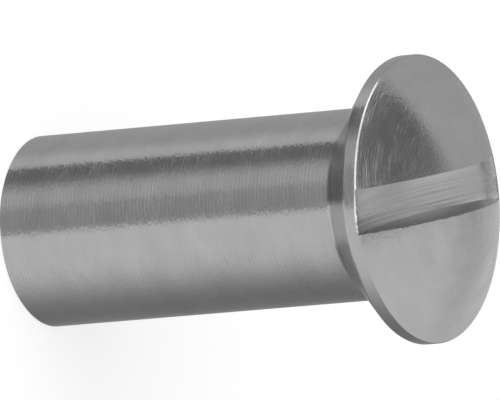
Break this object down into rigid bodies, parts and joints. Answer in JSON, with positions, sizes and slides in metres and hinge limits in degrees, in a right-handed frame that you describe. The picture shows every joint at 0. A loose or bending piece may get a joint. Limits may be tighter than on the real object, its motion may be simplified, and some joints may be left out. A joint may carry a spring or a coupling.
{
  "type": "sleeve nut",
  "caption": "Turned steel sleeve nut with a raised countersunk head, a saw-cut screwdriver slot and a blind threaded bore that opens at the plain end.",
  "frame": {"origin": "centre of the open end's flat face, on the sleeve's axis; the nut stands on this face", "axes": "+Z along the sleeve's axis, from the open end to the crown of the head; +X along the screwdriver slot, towards the end with the lip"},
  "size_m": [0.012, 0.012, 0.02],
  "materials": {
    "steel": "bright turned steel with fine tool marks round the axis and sawn streaks along the slot"
  },
  "bodies": {
    "root": {"sleeve_nut": "steel"}
  },
  "joints": []
}
